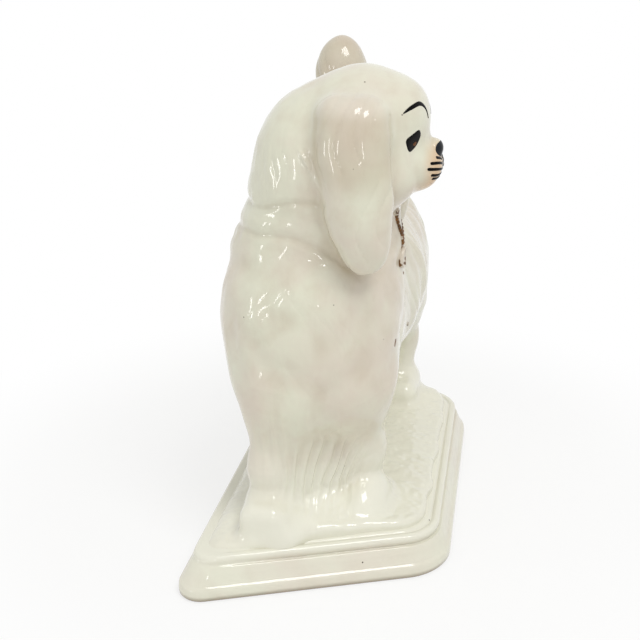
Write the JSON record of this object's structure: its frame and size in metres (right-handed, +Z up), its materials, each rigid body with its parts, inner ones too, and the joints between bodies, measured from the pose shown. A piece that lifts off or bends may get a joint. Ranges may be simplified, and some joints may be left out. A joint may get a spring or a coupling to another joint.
{
  "type": "ceramic dog figure",
  "caption": "Hollow glazed earthenware spaniel standing on a stepped plinth, head turned to the display side, with a gilt chain and locket; a shelf or mantel ornament.",
  "frame": {"origin": "centre of the plinth's outline, on the surface it rests on", "axes": "+Z up; +X along the plinth's long edges, from the dog's chest to its tail; -Y out of the display side, the way the head looks"},
  "size_m": [0.2174, 0.106, 0.2036],
  "materials": {
    "white_glaze": "clear lead glaze over white earthenware, glossy",
    "gilding": "worn gold fired on over the glaze",
    "biscuit": "unglazed, matt"
  },
  "bodies": {
    "root": {"plinth": "white_glaze", "base_slab": "biscuit", "ground": "white_glaze", "body_left_half": "white_glaze", "body_right_half": "white_glaze", "neck_ring": "white_glaze", "head_face_half": "white_glaze", "head_back_half": "white_glaze", "front_leg_right": "white_glaze", "front_leg_left": "white_glaze", "hind_leg_right": "white_glaze", "hind_leg_left": "white_glaze", "chest_feathering": "white_glaze", "tail": "white_glaze", "ear_right": "white_glaze", "ear_left": "white_glaze", "locket": "gilding", "chain": "gilding"}
  },
  "joints": []
}
